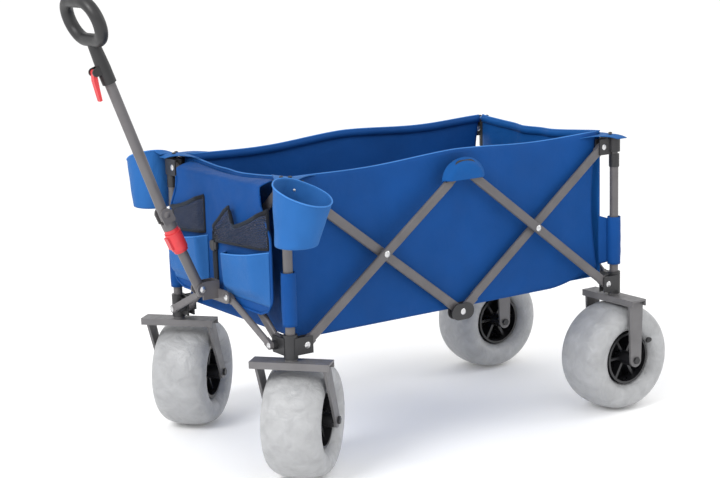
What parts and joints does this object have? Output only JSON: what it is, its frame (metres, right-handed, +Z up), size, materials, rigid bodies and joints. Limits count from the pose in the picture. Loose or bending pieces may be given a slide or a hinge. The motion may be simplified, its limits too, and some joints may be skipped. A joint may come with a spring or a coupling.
{
  "type": "folding beach cart",
  "caption": "Folding beach cart with a hung fabric tub on a crossed-link frame, balloon wheels in forks, swivelling front casters and a jointed pull handle.",
  "frame": {"origin": "on the ground, midway between the four corner posts", "axes": "+X towards the pull handle, +Y to the cart's left, +Z up"},
  "size_m": [1.2688, 0.7192, 0.9617],
  "materials": {
    "frame_paint": "satin",
    "fork_paint": "satin",
    "inner_post_steel": "satin",
    "hub_nylon": "satin",
    "rim_plastic": "gloss",
    "balloon": "matte",
    "red_plastic": "satin",
    "grip_rubber": "matte",
    "canvas": "woven",
    "trim_black": "woven",
    "pocket_mesh": "mesh",
    "bright_steel": "brushed"
  },
  "bodies": {
    "corner_rl": {"post_tube_rl": "frame_paint", "base_hub_rl": "hub_nylon", "fork_rl": "fork_paint"},
    "corner_rr": {"post_tube_rr": "frame_paint", "base_hub_rr": "hub_nylon", "fork_rr": "fork_paint"},
    "corner_fl": {"post_tube_fl": "frame_paint", "base_hub_fl": "hub_nylon"},
    "corner_fr": {"post_tube_fr": "frame_paint", "base_hub_fr": "hub_nylon"},
    "top_rl": {"top_hub_rl": "hub_nylon", "inner_post_rl": "inner_post_steel", "tub_left": "canvas", "tub_rear": "canvas", "tub_floor": "canvas"},
    "top_rr": {"top_hub_rr": "hub_nylon", "inner_post_rr": "inner_post_steel", "tub_right": "canvas"},
    "top_fl": {"top_hub_fl": "hub_nylon", "inner_post_fl": "inner_post_steel", "tub_front": "canvas", "front_pockets": "canvas", "cup_holder_left": "canvas"},
    "top_fr": {"top_hub_fr": "hub_nylon", "inner_post_fr": "inner_post_steel", "cup_holder_right": "canvas"},
    "link_lro": {"link_left_rear_outer": "frame_paint"},
    "link_lri": {"link_left_rear_inner": "frame_paint"},
    "link_lfo": {"link_left_front_outer": "frame_paint"},
    "link_lfi": {"link_left_front_inner": "frame_paint"},
    "link_rro": {"link_right_rear_outer": "frame_paint"},
    "link_rri": {"link_right_rear_inner": "frame_paint"},
    "link_rfo": {"link_right_front_outer": "frame_paint"},
    "link_rfi": {"link_right_front_inner": "frame_paint"},
    "link_ro": {"link_rear_outer": "frame_paint"},
    "link_ri": {"link_rear_inner": "frame_paint"},
    "link_fo": {"link_front_outer": "frame_paint"},
    "link_fi": {"link_front_inner": "frame_paint"},
    "mid_top_left": {"mid_top_hub_left": "hub_nylon"},
    "mid_bottom_left": {"mid_bottom_hub_left": "hub_nylon"},
    "mid_top_right": {"mid_top_hub_right": "hub_nylon"},
    "mid_bottom_right": {"mid_bottom_hub_right": "hub_nylon"},
    "bar_left": {"pull_bar_left": "frame_paint"},
    "bar_right": {"pull_bar_right": "frame_paint"},
    "yoke": {"yoke": "frame_paint"},
    "handle_lower": {"handle_lower_tube": "frame_paint"},
    "lock_collar": {"lock_collar": "red_plastic"},
    "handle_upper": {"handle_upper_tube": "frame_paint", "grip": "grip_rubber"},
    "trigger": {"trigger": "red_plastic"},
    "caster_fl": {"fork_fl": "fork_paint"},
    "caster_fr": {"fork_fr": "fork_paint"},
    "wheel_rl": {"rim_rl": "rim_plastic", "tyre_rl": "balloon"},
    "wheel_rr": {"rim_rr": "rim_plastic", "tyre_rr": "balloon"},
    "wheel_fl": {"rim_fl": "rim_plastic", "tyre_fl": "balloon"},
    "wheel_fr": {"rim_fr": "rim_plastic", "tyre_fr": "balloon"}
  },
  "joints": [
    {"name": "fold", "type": "hinge", "parent": "corner_rl", "child": "link_lro", "pos_m": [-0.39, 0.224, 0.283], "axis": [0, -1, 0], "range_deg": [0, 36.4], "deforming": ["tub_left", "tub_right", "tub_floor", "tub_front", "tub_rear", "front_pockets"]},
    {"name": "left_rear_cross", "type": "hinge", "parent": "link_lro", "child": "link_lri", "pos_m": [-0.195, 0.224, 0.433], "axis": [0, -1, 0], "range_deg": [-72.82, 0]},
    {"name": "left_rear_top", "type": "hinge", "parent": "link_lri", "child": "top_rl", "pos_m": [-0.39, 0.224, 0.583], "axis": [0, -1, 0], "range_deg": [0, 36.42]},
    {"name": "left_mid_bottom", "type": "hinge", "parent": "link_lri", "child": "mid_bottom_left", "pos_m": [0, 0.224, 0.283], "axis": [0, -1, 0], "range_deg": [0, 36.42]},
    {"name": "left_mid_top", "type": "hinge", "parent": "link_lro", "child": "mid_top_left", "pos_m": [0, 0.224, 0.583], "axis": [0, -1, 0], "range_deg": [-36.42, 0]},
    {"name": "left_front_inner", "type": "hinge", "parent": "link_lri", "child": "link_lfi", "pos_m": [0, 0.224, 0.283], "axis": [0, -1, 0], "range_deg": [0, 72.82]},
    {"name": "left_front_cross", "type": "hinge", "parent": "link_lfi", "child": "link_lfo", "pos_m": [0.195, 0.224, 0.433], "axis": [0, -1, 0], "range_deg": [-72.82, 0]},
    {"name": "left_front_base", "type": "hinge", "parent": "link_lfo", "child": "corner_fl", "pos_m": [0.39, 0.224, 0.283], "axis": [0, -1, 0], "range_deg": [0, 36.42]},
    {"name": "left_front_top", "type": "hinge", "parent": "link_lfi", "child": "top_fl", "pos_m": [0.39, 0.224, 0.583], "axis": [0, -1, 0], "range_deg": [-36.42, 0]},
    {"name": "rear_outer", "type": "hinge", "parent": "corner_rl", "child": "link_ro", "pos_m": [-0.419, 0.195, 0.283], "axis": [-1, 0, 0], "range_deg": [0, 36.42]},
    {"name": "rear_cross", "type": "hinge", "parent": "link_ro", "child": "link_ri", "pos_m": [-0.419, 0, 0.433], "axis": [-1, 0, 0], "range_deg": [-72.82, 0]},
    {"name": "rear_base", "type": "hinge", "parent": "link_ri", "child": "corner_rr", "pos_m": [-0.419, -0.195, 0.283], "axis": [-1, 0, 0], "range_deg": [0, 36.42]},
    {"name": "rear_top", "type": "hinge", "parent": "link_ro", "child": "top_rr", "pos_m": [-0.419, -0.195, 0.583], "axis": [-1, 0, 0], "range_deg": [-36.42, 0]},
    {"name": "right_rear_outer", "type": "hinge", "parent": "corner_rr", "child": "link_rro", "pos_m": [-0.39, -0.224, 0.283], "axis": [0, -1, 0], "range_deg": [0, 36.42]},
    {"name": "right_rear_cross", "type": "hinge", "parent": "link_rro", "child": "link_rri", "pos_m": [-0.195, -0.224, 0.433], "axis": [0, -1, 0], "range_deg": [-72.82, 0]},
    {"name": "right_mid_bottom", "type": "hinge", "parent": "link_rri", "child": "mid_bottom_right", "pos_m": [0, -0.224, 0.283], "axis": [0, -1, 0], "range_deg": [0, 36.42]},
    {"name": "right_mid_top", "type": "hinge", "parent": "link_rro", "child": "mid_top_right", "pos_m": [0, -0.224, 0.583], "axis": [0, -1, 0], "range_deg": [-36.42, 0]},
    {"name": "right_front_inner", "type": "hinge", "parent": "link_rri", "child": "link_rfi", "pos_m": [0, -0.224, 0.283], "axis": [0, -1, 0], "range_deg": [0, 72.82]},
    {"name": "right_front_cross", "type": "hinge", "parent": "link_rfi", "child": "link_rfo", "pos_m": [0.195, -0.224, 0.433], "axis": [0, -1, 0], "range_deg": [-72.82, 0]},
    {"name": "right_front_base", "type": "hinge", "parent": "link_rfo", "child": "corner_fr", "pos_m": [0.39, -0.224, 0.283], "axis": [0, -1, 0], "range_deg": [0, 36.42]},
    {"name": "right_front_top", "type": "hinge", "parent": "link_rfi", "child": "top_fr", "pos_m": [0.39, -0.224, 0.583], "axis": [0, -1, 0], "range_deg": [-36.42, 0]},
    {"name": "front_outer", "type": "hinge", "parent": "corner_fl", "child": "link_fo", "pos_m": [0.419, 0.195, 0.283], "axis": [-1, 0, 0], "range_deg": [0, 36.42]},
    {"name": "front_cross", "type": "hinge", "parent": "link_fo", "child": "link_fi", "pos_m": [0.419, 0, 0.433], "axis": [-1, 0, 0], "range_deg": [-72.82, 0]},
    {"name": "pull_bar_left_pivot", "type": "hinge", "parent": "corner_fl", "child": "bar_left", "pos_m": [0.447, 0.195, 0.283], "axis": [-1, 0, 0], "range_deg": [0, 57.17]},
    {"name": "pull_bar_right_pivot", "type": "hinge", "parent": "corner_fr", "child": "bar_right", "pos_m": [0.447, -0.195, 0.283], "axis": [-1, 0, 0], "range_deg": [-57.17, 0]},
    {"name": "yoke_pivot", "type": "hinge", "parent": "bar_left", "child": "yoke", "pos_m": [0.447, 0.044, 0.352], "axis": [-1, 0, 0], "range_deg": [-57.17, 0]},
    {"name": "handle_pivot", "type": "hinge", "parent": "yoke", "child": "handle_lower", "pos_m": [0.489, 0, 0.368], "axis": [0, 1, 0], "range_deg": [-12, 50]},
    {"name": "handle_elbow", "type": "hinge", "parent": "handle_lower", "child": "handle_upper", "pos_m": [0.56018, 0, 0.52787], "axis": [0, 1, 0], "range_deg": [0, 108]},
    {"name": "lock_slide", "type": "slide", "parent": "handle_lower", "child": "lock_collar", "axis": [-0.4067, 0, -0.9135], "range_m": [0, 0.028]},
    {"name": "trigger_pivot", "type": "hinge", "parent": "handle_upper", "child": "trigger", "pos_m": [0.68988, 0, 0.81453], "axis": [0, 1, 0], "range_deg": [0, 10], "stiffness_Nm_per_rad": 0.3, "springref_deg": -5.73},
    {"name": "caster_l", "type": "hinge", "parent": "corner_fl", "child": "caster_fl", "pos_m": [0.419, 0.224, 0.25], "axis": [0, 0, 1], "continuous": true},
    {"name": "wheel_spin_fl", "type": "hinge", "parent": "caster_fl", "child": "wheel_fl", "pos_m": [0.36919, 0.1807, 0.118], "axis": [-0.6561, 0.7547, 0], "continuous": true},
    {"name": "wheel_spin_rl", "type": "hinge", "parent": "corner_rl", "child": "wheel_rl", "pos_m": [-0.419, 0.224, 0.118], "axis": [0, 1, 0], "continuous": true},
    {"name": "caster_r", "type": "hinge", "parent": "corner_fr", "child": "caster_fr", "pos_m": [0.419, -0.224, 0.25], "axis": [0, 0, 1], "continuous": true},
    {"name": "wheel_spin_fr", "type": "hinge", "parent": "caster_fr", "child": "wheel_fr", "pos_m": [0.36919, -0.2673, 0.118], "axis": [-0.6561, 0.7547, 0], "continuous": true},
    {"name": "wheel_spin_rr", "type": "hinge", "parent": "corner_rr", "child": "wheel_rr", "pos_m": [-0.419, -0.224, 0.118], "axis": [0, 1, 0], "continuous": true}
  ],
  "couplings": [
    {"joint": "left_rear_cross", "follows": "fold", "ratio": -2},
    {"joint": "left_rear_top", "follows": "fold", "ratio": 1},
    {"joint": "left_mid_bottom", "follows": "fold", "ratio": 1},
    {"joint": "left_mid_top", "follows": "fold", "ratio": -1},
    {"joint": "left_front_inner", "follows": "fold", "ratio": 2},
    {"joint": "left_front_cross", "follows": "fold", "ratio": -2},
    {"joint": "left_front_base", "follows": "fold", "ratio": 1},
    {"joint": "left_front_top", "follows": "fold", "ratio": -1},
    {"joint": "rear_outer", "follows": "fold", "ratio": 1},
    {"joint": "rear_cross", "follows": "fold", "ratio": -2},
    {"joint": "rear_base", "follows": "fold", "ratio": 1},
    {"joint": "rear_top", "follows": "fold", "ratio": -1},
    {"joint": "right_rear_outer", "follows": "fold", "ratio": 1},
    {"joint": "right_rear_cross", "follows": "fold", "ratio": -2},
    {"joint": "right_mid_bottom", "follows": "fold", "ratio": 1},
    {"joint": "right_mid_top", "follows": "fold", "ratio": -1},
    {"joint": "right_front_inner", "follows": "fold", "ratio": 2},
    {"joint": "right_front_cross", "follows": "fold", "ratio": -2},
    {"joint": "right_front_base", "follows": "fold", "ratio": 1},
    {"joint": "right_front_top", "follows": "fold", "ratio": -1},
    {"joint": "front_outer", "follows": "fold", "ratio": 1},
    {"joint": "front_cross", "follows": "fold", "ratio": -2},
    {"joint": "pull_bar_left_pivot", "follows": "fold", "ratio": 1.5701},
    {"joint": "pull_bar_right_pivot", "follows": "fold", "ratio": -1.5701},
    {"joint": "yoke_pivot", "follows": "fold", "ratio": -1.5701}
  ]
}
